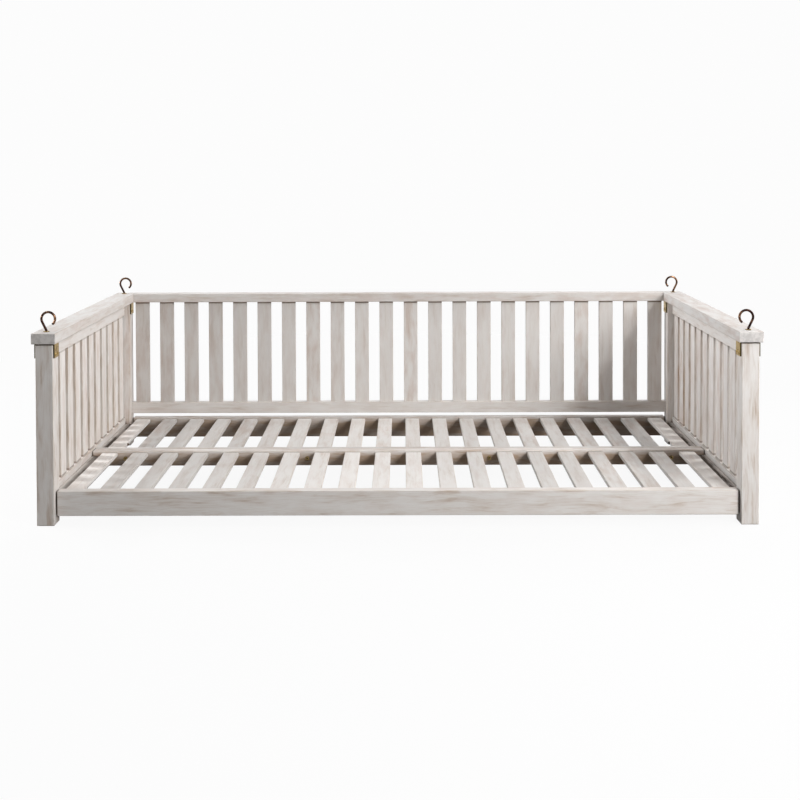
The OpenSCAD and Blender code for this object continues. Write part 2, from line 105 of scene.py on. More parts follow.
class Skin:
    """The faces of one piece, with marks on its points that its finish reads.

    The marks are a point's place in its board (grain), the board's half sizes (half), the board's shade,
    blush and figure (tone), the point's wear and painted shade (wear), and the dirt and painted
    shade in the joint at its end (joined).
    """

    plain = {"grain": Vector(), "half": Vector(), "tone": Vector((1.0, 0.5, 0.5)), "wear": 0.0, "joined": 0.0}

    def __init__(self) -> None:
        """Starts an empty piece."""
        self.points: list[Vector] = []
        self.faces: list[tuple[int, ...]] = []
        self.marks: dict[str, list[Any]] = {label: [] for label in self.plain}

    def loft(self, rings: list[list[Vector]], looped: bool = False, **marks: list[Any]) -> None:
        """Joins rings of equal length into a closed skin.

        Args:
            rings: Points of each ring, in order along the piece.
            looped: Whether the last ring meets the first one. Otherwise a cap closes each end.
            **marks: Values of some of the marks, one for each point. The others are plain.
        """
        first, count = len(self.points), len(rings[0])
        total = count * len(rings)
        for ring in rings:
            self.points += ring
        for label, value in self.plain.items():
            self.marks[label] += marks.get(label, [value] * total)
        for row in range(len(rings) if looped else len(rings) - 1):
            near, far = first + row * count, first + (row + 1) % len(rings) * count
            for k in range(count):
                after = (k + 1) % count
                self.faces.append((near + k, near + after, far + after, far + k))
        if not looped:
            self.faces.append(tuple(range(first + count - 1, first - 1, -1)))
            self.faces.append(tuple(range(first + total - count, first + total)))

    def piece(self, name: str, flat_above: float = 30.0) -> bpy.types.Object:
        """Makes the Blender object.

        Args:
            name: Name of the piece.
            flat_above: Edges that turn by more than this angle are sharp.

        Returns:
            The new object, at the origin.
        """
        mesh = bpy.data.meshes.new(name)
        mesh.from_pydata(self.points, [], self.faces)
        for label, values in self.marks.items():
            if isinstance(self.plain[label], Vector):
                parts = [part for value in values for part in value]
                mesh.attributes.new(label, "FLOAT_VECTOR", "POINT").data.foreach_set("vector", parts)
            else:
                mesh.attributes.new(label, "FLOAT", "POINT").data.foreach_set("value", values)
        shell = bmesh.new()
        shell.from_mesh(mesh)
        bmesh.ops.recalc_face_normals(shell, faces=shell.faces)
        for edge in shell.edges:
            edge.smooth = not edge.is_manifold or edge.calc_face_angle(0.0) < math.radians(flat_above)
        for face in shell.faces:
            face.smooth = True
        shell.to_mesh(mesh)
        shell.free()
        return linked(name, mesh)


def solids(node: str) -> list[Box]:
    """Boxes of the separate solids in one CAD node, from left to right and front to back.

    Args:
        node: Name of the CAD node.

    Returns:
        The lowest and highest corner of each solid.
    """
    welded = bmesh.new()
    welded.from_mesh(bpy.data.objects[node].data)
    bmesh.ops.remove_doubles(welded, verts=welded.verts, dist=0.01 * MM)
    left = set(welded.verts)
    boxes = []
    while left:
        front = [left.pop()]
        found = list(front)
        while front:
            near = {edge.other_vert(vert) for vert in front for edge in vert.link_edges} & left
            left -= near
            front = list(near)
            found += front
        spans = [[vert.co[k] for vert in found] for k in range(3)]
        boxes.append((Vector([min(span) for span in spans]), Vector([max(span) for span in spans])))
    welded.free()
    return sorted(boxes, key=lambda box: (round(box[0].x, 4), round(box[0].y, 4)))


def arc(centre: tuple[float, float], radius: float, start: float, sweep: float, steps: int) -> Outline:
    """Points of an arc with both its ends, from a start angle by a sweep in some steps."""
    angles = [math.radians(start + sweep * k / steps) for k in range(steps + 1)]
    return [(centre[0] + radius * math.cos(a), centre[1] + radius * math.sin(a)) for a in angles]


def rounded_section(half_a: float, half_b: float, radius: float, inset: float) -> Outline:
    """Points round a rectangle with rounded corners.

    Args:
        half_a: Half of its width.
        half_b: Half of its height.
        radius: Radius of its corners.
        inset: Distance by which the whole outline is drawn in.

    Returns:
        The points, always in the same number and order.
    """
    support = 1.2 * MM
    least_bend = 0.2 * MM
    side_a, side_b = half_a - inset, half_b - inset
    bend = max(radius - inset, least_bend)
    reach = (side_a - bend, side_b - bend)
    points = []
    for turn, (sign_a, sign_b) in enumerate(((1, 1), (-1, 1), (-1, -1), (1, -1))):
        points += arc((sign_a * reach[0], sign_b * reach[1]), bend, 90.0 * turn, 90.0, 4)
        flat = reach[turn % 2]
        near = max(flat - support, 0.6 * flat)
        for along in (near, 0.4 * flat, 0.0, -0.4 * flat, -near):
            points.append(((along, side_b), (-side_a, along), (-along, -side_b), (side_a, -along))[turn])
    return points


def side_of(offset: float, half: float) -> float:
    """1 or -1 where an offset reaches that side of a board, and 0 elsewhere."""
    return math.copysign(1.0, offset) if half - abs(offset) < 0.15 * MM else 0.0


@dataclass(frozen=True)
class Board:
    """One board, and how it is worn and painted. Shares run from 0 to 1.

    Attributes:
        box: Lowest and highest corner.
        grain: Direction of the grain.
        free: Whether its low end and its high end are rounded over.
        radius, dents: Radius of the long edges, and depth of the dents in them.
        thin_and_shaded: Direction in which the paint lets the timber through, partly as painted shade. Its
            length is the share that is missing.
        joined: Dirt and painted shade in the joints at its low end and its high end.
        painted_shade_side: Side of the section, -1 or 1, left without paint as painted shade, or 0.
        figure: How strongly the grain shows through the paint.
        pale: How much paler than the other boards it is, as a share of their colour. On some boards it is
            painted light, on others painted shade.
        swell: Depth of the slow waves in its faces.
        darkest, shades: Least shade of a board, and how far the shades are drawn above it.
    """

    box: Box
    grain: Axis
    free: tuple[bool, bool] = (False, False)
    radius: float = 1.8 * MM
    dents: float = 0.35 * MM
    thin_and_shaded: Vector = Vector((0.0, 0.0, 0.0))
    joined: tuple[float, float] = (0.0, 0.0)
    painted_shade_side: int = 0
    figure: float = 0.5
    pale: float = 0.0
    swell: float = 0.12 * MM
    darkest: float = 0.93
    shades: float = 0.08

    def stations(self, half: float) -> Outline:
        """Places along the board where its section is drawn.

        Args:
            half: Half of the board's length.

        Returns:
            How far along each place lies, from the middle, and how far the section is drawn in there.
        """
        spacing = 24 * MM
        lead = 1.2 * MM
        ends: list[Outline] = []
        for shown in self.free:
            rim = [(0.0, 0.0)]
            if shown:
                turns = [math.radians(angle) for angle in (90, 67, 45, 22, 0)]
                rim = [(0.0, self.radius + lead)]
                rim += [(self.radius * (1 - math.sin(a)), self.radius * (1 - math.cos(a))) for a in turns]
                rim.append((self.radius + lead, 0.0))
            ends.append(rim)
        start, stop = ends[0][-1][0], 2 * half - ends[1][-1][0]
        count = max(2, round((stop - start) / spacing))
        middle = [(start + (stop - start) * k / count, 0.0) for k in range(1, count)]
        low = [(at - half, inset) for at, inset in ends[0] + middle]
        return low + [(half - at, inset) for at, inset in reversed(ends[1])]

    def moved(self, along: float, across: float, deep: float, half: Vector, seed: Vector) -> Vector:
        """Moves a point of the surface by the swell of the faces and the dents of the edges.

        Args:
            along, across, deep: The point, from the board's centre.
            half: The board's half sizes.
            seed: Where the board's noise starts.

        Returns:
            The moved point.
        """

        def wave(fast: float, slow: float) -> float:
            """Smooth noise, by its pace along the board and across it."""
            return noise.noise(Vector((along * fast, across * slow, deep * slow)) + seed)

        near, far = sorted((half.y - abs(across), half.z - abs(deep)))
        on_edge = near < 0.6 * self.radius and far < 1.2 * self.radius
        dent = self.dents * max(0.0, wave(33, 9)) if on_edge else 0.0
        outward = Vector((0.0, across / half.y, deep / half.z)).normalized()
        return Vector((along, across, deep)) + outward * (self.swell * (wave(7, 24) - 1.0) - dent)

    def bareness_and_shade(self, across: float, deep: float, half: Vector, order: list[int]) -> float:
        """How little paint a point of the section has; the timber that shows is partly painted shade.

        Args:
            across, deep: The point, from the board's centre.
            half: The board's half sizes.
            order: The world's axes, in the order of the board's own.

        Returns:
            The share of the paint that is missing, from 0 to 1.
        """
        if self.painted_shade_side:
            return 1.0 if across * self.painted_shade_side > -0.5 * half.y else 0.0
        looks = Vector((0.0, 0.0, 0.0))
        looks[order[1]], looks[order[2]] = side_of(across, half.y), side_of(deep, half.z)
        return 0.0 if deep > 0.5 * half.z else max(0.0, looks.dot(self.thin_and_shaded))

    def add_to(self, skin: Skin) -> None:
        """Lofts the board into a piece.

        Args:
            skin: The piece that it is added to.
        """
        centre = (self.box[0] + self.box[1]) / 2
        size = (self.box[1] - self.box[0]) / 2
        order = [self.grain.value] + [k for k in range(3) if k != self.grain.value]
        half = Vector([size[k] for k in order])
        drawn = [noise.cell(centre * 417.0 + Vector((k * 7.3, 1.7, 0.4))) * 0.5 + 0.5 for k in range(2)]
        tone = Vector((self.darkest + self.shades * drawn[0] + self.pale, drawn[1], self.figure))
        rings, spots, wear, joined = [], [], [], []
        for along, inset in self.stations(half.x):
            ring = []
            for across, deep in rounded_section(half.y, half.z, self.radius, inset):
                place = centre.copy()
                for world, part in zip(order, self.moved(along, across, deep, half, tone * 40.0)):
                    place[world] += part
                ring.append(place)
                spots.append(Vector((along, across, deep)))
                wear.append(self.bareness_and_shade(across, deep, half, order))
                joined.append(self.joined[0 if along < 0 else 1])
            rings.append(ring)
        count = len(spots)
        skin.loft(rings, grain=spots, half=[half] * count, tone=[tone] * count, wear=wear, joined=joined)


Radius = float | Callable[[float], float]


def turned(
    skin: Skin,
    place: Vector,
    outward: Vector,
    rings: list[tuple[Radius, float, float]],
    dip: Callable[[float, float], float] = lambda x, y: 0.0,
    segments: int = 48,
) -> None:
    """Adds a turned piece.

    Args:
        skin: The piece that it is added to.
        place: Middle of its seat.
        outward: Direction of its axis.
        rings: For each ring, its radius or that by the angle in radians, its height and how dark it is painted
            as shade.
        dip: Depth cut into the face at a point, such as a driver's recess, which is painted dark as shade.
        segments: Number of points in a ring.
    """
    pose = Matrix.Translation(place) @ outward.to_track_quat("Z", "Y").to_matrix().to_4x4()
    lofted, wear = [], []
    for radius, height, shade_and_grime in rings:
        ring = []
        for k in range(segments):
            angle = math.tau * k / segments
            far = radius(angle) if callable(radius) else radius
            x, y = far * math.cos(angle), far * math.sin(angle)
            ring.append(pose @ Vector((x, y, height - dip(x, y))))
            wear.append(1.0 if dip(x, y) > 0 else shade_and_grime)
        lofted.append(ring)
    skin.loft(lofted, wear=wear)


def hexagon(flats: float) -> Callable[[float], float]:
    """A six-sided ring, by the distance across its flats."""
    wedge = math.radians(60)
    return lambda angle: flats / 2 / math.cos((angle + wedge / 2) % wedge - wedge / 2)


def swept(skin: Skin, path: list[Vector], width: Vector, sections: list[Outline], **marks: list[Any]) -> None:
    """Adds a band or a wire along a path that lies in one plane.

    Args:
        skin: The piece that it is added to.
        path: Points along its middle.
        width: Normal of the plane of the path.
        sections: For each point, the outline there: how far along the normal, and how far outward.
        **marks: Values of some of the marks, one for each point of the skin.
    """
    rings = []
    for k, (spot, section) in enumerate(zip(path, sections)):
        ahead = path[min(k + 1, len(path) - 1)] - path[max(k - 1, 0)]
        outward = ahead.normalized().cross(width)
        rings.append([spot + across * width + deep * outward for across, deep in section])
    skin.loft(rings, **marks)


# -------- shader graphs


@dataclass(frozen=True)
class Signal:
    """An output of a node in a tree, for sums written with the usual signs."""

    graph: "Graph"
    socket: bpy.types.NodeSocket

    def sum(self, operation: str, *others: Any, output: str | int = 0) -> "Signal":
        """The result of a sum on this value, a number or a vector, and on others."""
        kind = "VectorMath" if self.socket.type == "VECTOR" else "Math"
        return self.graph.value(kind, dict(enumerate((self, *others))), output, operation=operation)

    def __add__(self, other: Any) -> "Signal":
        """This value plus another."""
        return self.sum("ADD", other)

    def __sub__(self, other: Any) -> "Signal":
        """This value less another."""
        return self.sum("SUBTRACT", other)

    def __mul__(self, other: Any) -> "Signal":
        """This value times another."""
        return self.sum("MULTIPLY", other)

    def __truediv__(self, other: Any) -> "Signal":
        """This value divided by another."""
        return self.sum("DIVIDE", other)


@dataclass(frozen=True)
class Graph:
    """A node tree, with short ways to add nodes to it."""

    tree: bpy.types.NodeTree

    def add(self, kind: str, inputs: Sockets | None = None, **settings: Any) -> bpy.types.Node:
        """Adds a node.

        Args:
            kind: Type of the node, without the leading "ShaderNode".
            inputs: Value or source for each input, by name or index.
            **settings: Properties of the node.

        Returns:
            The new node.
        """
        node = self.tree.nodes.new("ShaderNode" + kind)
        for key, value in settings.items():
            setattr(node, key, value)
        for key, value in (inputs or {}).items():
            if isinstance(value, Signal):
                self.tree.links.new(value.socket, node.inputs[key])
            else:
                node.inputs[key].default_value = value
        return node

    def value(self, kind: str, inputs: Sockets | None = None, output: Any = 0, **settings: Any) -> Signal:
        """Adds a node and returns one of its outputs, by name or index."""
        return Signal(self, self.add(kind, inputs, **settings).outputs[output])

    def effect(self, tree: bpy.types.NodeTree, inputs: dict[str, Any]) -> dict[str, Signal]:
        """Adds a shared effect and returns its outputs by their names."""
        node = self.add("Group", inputs, node_tree=tree)
        return {socket.name: Signal(self, socket) for socket in node.outputs}

    def fit(self, value: Any, low: float, high: float, to_low: float = 0.0, to_high: float = 1.0) -> Signal:
        """A number mapped smoothly from one range to another."""
        sockets = {"Value": value, "From Min": low, "From Max": high, "To Min": to_low, "To Max": to_high}
        return self.value("MapRange", sockets, interpolation_type="SMOOTHSTEP")

    def blend(self, factor: Any, a: Signal | Colour, b: Signal | Colour, mode: str = "MIX") -> Signal:
        """A colour between two others.

        Args:
            factor: 0 for the first one, 1 for the second one.
            a: The first one.
            b: The second one.
            mode: How they are blended.

        Returns:
            The blended colour.
        """
        ends = [(*end, 1.0) if isinstance(end, tuple) else end for end in (a, b)]
        sockets = {0: factor, 6: ends[0], 7: ends[1]}
        return self.value("Mix", sockets, 2, data_type="RGBA", blend_type=mode, clamp_factor=True)

    def noise(self, where: Signal, scale: Any, detail: float = 2.0, roughness: float = 0.5) -> Signal:
        """Smooth noise between about 0.2 and 0.8.

        Args:
            where: The point at which it is read.
            scale: How fine it is, as one number or as one for each axis.
            detail: Number of its finer layers.
            roughness: Strength of its finer layers.

        Returns:
            The noise.
        """
        if isinstance(scale, tuple):
            where, scale = where * scale, 1.0
        sockets = {"Vector": where, "Scale": scale, "Detail": detail, "Roughness": roughness}
        return self.value("TexNoise", sockets)

    def split(self, vector: Signal) -> list[Signal]:
        """The three parts of a vector."""
        return [Signal(self, socket) for socket in self.add("SeparateXYZ", {0: vector}).outputs]

    def join(self, x: Any, y: Any, z: Any) -> Signal:
        """A vector of three numbers."""
        return self.value("CombineXYZ", {0: x, 1: y, 2: z})

    def mark(self, label: str) -> Signal:
        """A mark of the piece's points."""
        output = "Vector" if isinstance(Skin.plain[label], Vector) else "Fac"
        return self.value("Attribute", output=output, attribute_name=label)

    def bump(self, height: Signal, strength: float, depth: float) -> Signal:
        """A normal bent by a height."""
        return self.value("Bump", {"Height": height, "Strength": strength, "Distance": depth})


Build = Callable[[Graph, dict[str, Signal]], dict[str, Signal]]


def group(name: str, inputs: dict[str, Any], build: Build) -> bpy.types.NodeTree:
    """Makes a shader node group.

    Args:
        name: Name of the group.
        inputs: Default value of each input, a number or a vector.
        build: Adds the nodes and returns the group's outputs, which are numbers.

    Returns:
        The group's tree.
    """
    tree = bpy.data.node_groups.new(name, "ShaderNodeTree")
    for label, default in inputs.items():
        kind = "NodeSocketVector" if isinstance(default, tuple) else "NodeSocketFloat"
        tree.interface.new_socket(label, in_out="INPUT", socket_type=kind).default_value = default
    graph = Graph(tree)
    source = tree.nodes.new("NodeGroupInput")
    results = build(graph, {label: Signal(graph, source.outputs[label]) for label in inputs})
    for label in results:
        tree.interface.new_socket(label, in_out="OUTPUT", socket_type="NodeSocketFloat")
    sink = tree.nodes.new("NodeGroupOutput")
    for label, signal in results.items():
        tree.links.new(signal.socket, sink.inputs[label])
    return tree


class Effects:
    """The shared effects, each a node group that is built once."""

    def __init__(self) -> None:
        """Builds every group."""
        nowhere = (0.0, 0.0, 0.0)
        board = {"Grain": nowhere, "Tone": tuple(Skin.plain["tone"]), "Ring Gap": 0.008, "Waviness": 1.0}
        border = {"Grain": nowhere, "Half": (1.0, 1.0, 1.0), "Width": 0.003, "Ragged": 0.002, "Joined": 0.0}
        self.grain = group("board_grain", board, self._grain)
        self.edges = group("board_edges", border, self._edges)
        self.patina = group("metal_patina", {"Where": nowhere, "Spots": 90.0}, self._patina)

    @staticmethod
    def _grain(graph: Graph, given: dict[str, Signal]) -> dict[str, Signal]:
        """Streaks, fibres, growth rings, cloudy patches and blushes of a sawn board.

        Args:
            graph: The group's tree.
            given: The group's inputs by their names.

        Returns:
            The group's outputs by their names.
        """
        straight = given["Grain"] + given["Tone"] * (23.0, 23.0, 23.0)
        sway = (graph.noise(straight, (6, 5, 5), 1.0) - 0.5) * 0.016 * given["Waviness"]
        spot = straight + graph.join(0.0, sway, sway)
        _, across, deep = graph.split(given["Grain"])
        shift_a, shift_b, _ = graph.split(given["Tone"])
        from_pith = graph.join(0.0, across + (shift_a - 0.5) * 0.05, deep + (shift_b * 0.05 + 0.03))
        wander = graph.noise(spot, (2.6, 7, 7), 1.0) * 0.09 * given["Waviness"]
        turns = (from_pith.sum("LENGTH", output="Value") + wander) / given["Ring Gap"]
        saw = turns.sum("FRACT")
        return {
            "Streak": graph.noise(spot, (6, 85, 85), 5.0, 0.66),
            "Fibre": graph.noise(spot, (16, 520, 520), 2.0, 0.6),
            "Ring": graph.fit(saw, 0.0, 0.75) * graph.fit(saw, 1.0, 0.82),
            "Cloud": graph.noise(spot, (8, 44, 44), 3.0, 0.55),
            "Blush": graph.noise(spot, (11, 34, 34), 3.0, 0.6),
        }

    @staticmethod
    def _edges(graph: Graph, given: dict[str, Signal]) -> dict[str, Signal]:
        """How near a point is to a board's edge, to its end grain and to a joint that hides its end.

        Args:
            graph: The group's tree.
            given: The group's inputs by their names.

        Returns:
            The group's outputs by their names.
        """
        along, across, deep = graph.split(given["Half"] - given["Grain"].sum("ABSOLUTE"))
        small, large = across.sum("MINIMUM", deep), across.sum("MAXIMUM", deep)
        middle = small.sum("MAXIMUM", large.sum("MINIMUM", along))
        torn = graph.noise(given["Grain"], (35, 160, 160), 3.0)
        near = (middle + (torn - 0.5) * given["Ragged"]) / given["Width"]
        return {
            "Edge": graph.fit(near, 1.0, 0.25),
            "End": graph.fit(along, 1.2 * MM, 0.4 * MM),
            # A dark band at a hidden board end: dirt in the joint, and painted shade where the neighbour
            # covers the end.
            "Seam": graph.fit(along, 9.2 * MM, 6.6 * MM) * given["Joined"],
        }

    @staticmethod
    def _patina(graph: Graph, given: dict[str, Signal]) -> dict[str, Signal]:
        """Tarnish, fine scratches and small pits of handled metal.

        Args:
            graph: The group's tree.
            given: The group's inputs by their names.

        Returns:
            The group's outputs by their names.
        """
        scratch = graph.fit(graph.noise(given["Where"], (900, 900, 60)), 0.56, 0.66)
        pits = graph.noise(given["Where"], 1400.0, 1.0)
        tarnish = graph.noise(given["Where"], given["Spots"], 4.0, 0.62)
        return {"Tarnish": tarnish, "Scratch": scratch, "Height": pits * 0.6 - scratch * 0.5}


# -------- finishes


def blank(name: str) -> tuple[bpy.types.Material, Graph]:
    """Makes a material without nodes.

    Args:
        name: Its name.

    Returns:
        The material and its graph.
    """
    material = bpy.data.materials.new(name)
    material.use_nodes = True
    material.node_tree.nodes.clear()
    return material, Graph(material.node_tree)


@dataclass(frozen=True)
class Recipe:
    """How one finish is made: the name of its material, and the record's slot that it belongs to."""

    name: str
    slot: str

    def surface(self, graph: Graph, effects: Effects) -> dict[str, Any]:
        """The inputs of the Principled shader. Each kind of finish has its own."""
        raise NotImplementedError

    def material(self, effects: Effects) -> bpy.types.Material:
        """Builds the material.

        Args:
            effects: The shared effects.

        Returns:
            The new material.
        """
        material, graph = blank(self.name)
        graph.add("OutputMaterial", {0: graph.value("BsdfPrincipled", self.surface(graph, effects))})
        return material


@dataclass(frozen=True)
class Whitewash(Recipe):
    """Thin white paint worked into open-grained boards.

    Attributes:
        blush: Colour of the pinkish patches where the paint is thin.
        cover: How much of the timber the paint hides, from 0 to 1.
        relief: Depth of the grain.
        painted_shade_reach: How far from its neighbours a board is darkened, as painted shade in creases and
            gaps.
    """

    name: str = "whitewashed_timber"
    slot: str = "wood"
    paint: Colour = (0.79, 0.76, 0.733)
    timber: Colour = (0.46, 0.34, 0.25)
    blush: Colour = (0.64, 0.53, 0.475)
    shade_and_grime: Colour = (0.16, 0.115, 0.08)
    end_grain: Colour = (0.68, 0.65, 0.63)
    cover: float = 0.5
    relief: float = 0.25 * MM
    painted_shade_reach: float = 16 * MM

    def surface(self, graph: Graph, effects: Effects) -> dict[str, Any]:
        """Lays the paint over the timber, sparse on streaks, fibres, rings and edges, and darkens creases with
        painted shade and hidden board ends with dirt and painted shade.

        Args:
            graph: The material's tree.
            effects: The shared effects.

        Returns:
            The inputs of the Principled shader.
        """
        grain, tone = graph.mark("grain"), graph.mark("tone")
        figure = graph.effect(effects.grain, {"Grain": grain, "Tone": tone, "Ring Gap": 8.5 * MM})
        reach = {"Grain": grain, "Half": graph.mark("half"), "Width": 2.6 * MM, "Ragged": 3.0 * MM}
        border = graph.effect(effects.edges, {**reach, "Joined": graph.mark("joined")})
        shade, warmth, strength = graph.split(tone)

        bare = graph.fit(figure["Streak"], 0.44, 0.72)
        fine = graph.fit(figure["Fibre"], 0.46, 0.70)
        patch = graph.fit(figure["Cloud"], 0.42, 0.62)
        spread = patch * 0.75 + 0.2
        shown = bare * spread + fine * 0.22 + figure["Ring"] * (patch * 0.16) + patch * 0.16
        shown = shown * (strength + 0.35) + border["Edge"] * 0.42
        # Timber shows where the paint is worn, and where it stands in for painted shade on hidden faces, slat
        # fronts and cleats.
        worn_and_shaded = graph.mark("wear") * (spread * 0.5 + 0.55)
        shown = shown * (1.0 - self.cover) + worn_and_shaded

        pink = graph.fit(figure["Blush"], 0.38, 0.72) * (warmth * warmth * 0.5 + 0.2)
        colour = graph.blend(shown, graph.blend(pink, self.paint, self.blush), self.timber)
        colour = graph.blend(1.0, colour, graph.join(shade, shade, shade), "MULTIPLY")
        mottled = graph.fit(figure["Streak"] + figure["Cloud"], 0.85, 1.15)
        sawn = graph.blend(mottled, self.end_grain, tuple(0.8 * part for part in self.end_grain))
        colour = graph.blend(border["End"] * 0.85, colour, sawn)
        # Painted shade: creases and gaps between boards darken by ambient occlusion. The dark bands at hidden
        # board ends join them, and those are dirt and painted shade.
        nearby = graph.value("AmbientOcclusion", {"Distance": self.painted_shade_reach}, "AO", samples=8)
        painted_shade_and_dirt = graph.fit(nearby, 0.58, 0.26).sum("MAXIMUM", border["Seam"])
        height = figure["Streak"] * 0.5 - fine * 0.6 - figure["Ring"] * 0.25
        return {
            "Base Color": graph.blend(painted_shade_and_dirt * 0.88, colour, self.shade_and_grime),
            "Roughness": graph.fit(shown, 0.0, 0.5, 0.66, 0.82),
            "Normal": graph.bump(height, 0.35, self.relief),
            "IOR": 1.45,
        }


@dataclass(frozen=True)
class Metal(Recipe):
    """A metal with patches of tarnish and fine scratches.

    Attributes:
        bright, smooth: Colour and roughness of the clean metal.
        dull, rough: Colour and roughness of the tarnish.
        spread, spots: How much of the surface is tarnished, from 0 to 1, and how finely.
        shade_and_grime: Colour painted on cut edges, recesses and seats as shade.
    """

    bright: Colour
    dull: Colour
    spread: float
    smooth: float
    rough: float
    shade_and_grime: Colour = (0.035, 0.024, 0.016)
    spots: float = 90.0

    def surface(self, graph: Graph, effects: Effects) -> dict[str, Any]:
        """Lays the tarnish and the grime over the clean metal.

        Args:
            graph: The material's tree.
            effects: The shared effects.

        Returns:
            The inputs of the Principled shader.
        """
        where = graph.value("TexCoord", output="Object")
        worn = graph.effect(effects.patina, {"Where": where, "Spots": self.spots})
        wear = graph.mark("wear")
        start = 0.66 - 0.32 * self.spread
        dulled = graph.fit(worn["Tarnish"], start, start + 0.14)
        colour = graph.blend(dulled, self.bright, self.dull)
        colour = graph.blend(worn["Scratch"] * 0.35, colour, self.bright)
        # Cut edges, recesses and seats are painted dark, as shade.
        return {
            "Base Color": graph.blend(wear, colour, self.shade_and_grime),
            "Metallic": 1.0,
            "Roughness": graph.fit(dulled.sum("MAXIMUM", wear), 0.0, 1.0, self.smooth, self.rough),
            "Normal": graph.bump(worn["Height"], 0.3, 0.05 * MM),
        }


@dataclass(frozen=True)
class BareDowel(Recipe):
    """Unpainted turned beech, light with dark fibres."""

    name: str = "bare_dowel"
    slot: str = "dowel_wood"
    light: Colour = (0.66, 0.50, 0.34)
    dark: Colour = (0.52, 0.37, 0.23)

    def surface(self, graph: Graph, effects: Effects) -> dict[str, Any]:
        """Draws the shared grain in the piece's own coordinates.

        Args:
            graph: The material's tree.
            effects: The shared effects.

        Returns:
            The inputs of the Principled shader.
        """
        where = graph.value("TexCoord", output="Object")
        figure = graph.effect(effects.grain, {"Grain": where, "Ring Gap": 2.0 * MM, "Waviness": 0.4})
        colour = graph.blend(graph.fit(figure["Fibre"], 0.3, 0.7), self.light, self.dark)
        return {"Base Color": colour, "Roughness": graph.fit(figure["Streak"], 0.3, 0.7, 0.6, 0.8)}


class Finish(Enum):
    """Every finish of the bed. The cleats' finish is painted shade: near black on their inboard side for the
    shadowed gap beside the outer slats, and paler than the other paint next to the end rails, as painted light
    in that gap.
    """

    TIMBER = Whitewash()
    CLEATS = Whitewash("cleat_timber_painted_shade", "wood", (0.88, 0.83, 0.79), (0.05, 0.034, 0.022), painted_shade_reach=1.5 * MM)
    DOWEL = BareDowel()
    BRASS = Metal(
        "aged_brass", "strap_brass", (0.46, 0.33, 0.125), (0.25, 0.15, 0.06),
        spread=0.5, smooth=0.34, rough=0.55, shade_and_grime=(0.05, 0.039, 0.017),
    )
    OLIVE = Metal(
        "olive_brass", "strap_brass", (0.24, 0.17, 0.075), (0.09, 0.065, 0.03),
        spread=0.6, smooth=0.32, rough=0.5, shade_and_grime=(0.02, 0.015, 0.009),
    )
    BRONZE = Metal(
        "dark_bronze", "hook_bronze", (0.17, 0.09, 0.05), (0.016, 0.006, 0.005),
        spread=0.9, smooth=0.16, rough=0.28, spots=42.0,
    )
    ZINC = Metal(
        "zinc_steel", "steel", (0.62, 0.62, 0.63), (0.42, 0.41, 0.40),
        spread=0.35, smooth=0.30, rough=0.50,
    )


Palette = dict[Finish, bpy.types.Material]


# -------- sub-assemblies


@dataclass
class Assembly:
    """One part of the bed.

    Attributes:
        palette: The bed's materials.
        pieces: By the CAD node that it stands for, each finished piece and its finish.
    """

    palette: Palette
    pieces: dict[str, tuple[bpy.types.Object, Finish]] = field(default_factory=dict)

    def dress(self) -> None:
        """Gives every piece its finish and its body, and puts it in the place of its CAD node."""
        for node, (piece, finish) in self.pieces.items():
            body = node if node in HOOKS else FRAME_BODY
            piece.data.materials.clear()
            piece.data.materials.append(self.palette[finish])
            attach(piece, body)
            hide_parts(node)
            LOG.info("%s: %d faces, for %s", piece.name, len(piece.data.polygons), node)


@dataclass
class Woodwork(Assembly):
    """Boards of one part of the bed.

    Attributes:
        let_in: How far a board's hidden end runs into its neighbour.
    """

    let_in: float = 2 * MM

    def between(self, box: Box, axis: Axis, low: str, high: str) -> Box:
        """The box of a board whose ends are let into two neighbours.

        Args:
            box: Box of its CAD solid.
            axis: The way the board runs.
            low: CAD node at its low end.
            high: CAD node at its high end.

        Returns:
            The same box with its ends just inside those nodes.
        """
        near, far = box[0].copy(), box[1].copy()
        near[axis.value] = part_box(low)[1][axis.value] - self.let_in
        far[axis.value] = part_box(high)[0][axis.value] + self.let_in
        return near, far

    def lay(self, node: str, boards: Iterable[Board], finish: Finish = Finish.TIMBER) -> None:
        """Makes the piece that stands for one CAD node.

        Args:
            node: Name of the CAD node.
            boards: Its boards.
            finish: Their finish.
        """
        skin = Skin()
        for board in boards:
            board.add_to(skin)
        self.pieces[node] = (skin.piece(f"{node}_timber"), finish)


def gradient(ends: tuple[float, float], count: int, power: int = 1) -> list[float]:
    """A number of values from a first one to a last one, evenly spaced or by a power."""
    first, last = ends
    return [first + (last - first) * (k / (count - 1)) ** power for k in range(count)]


@dataclass
class Posts(Woodwork):
    """The four square corner posts."""

    radius: float = 1.8 * MM

    def build(self) -> None:
        """Makes each post, rounded over at its ends."""
        for corner in CORNERS:
            node = f"{corner}_post"
            self.lay(node, [Board(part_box(node), Axis.Z, (True, True), self.radius, figure=1.0)])


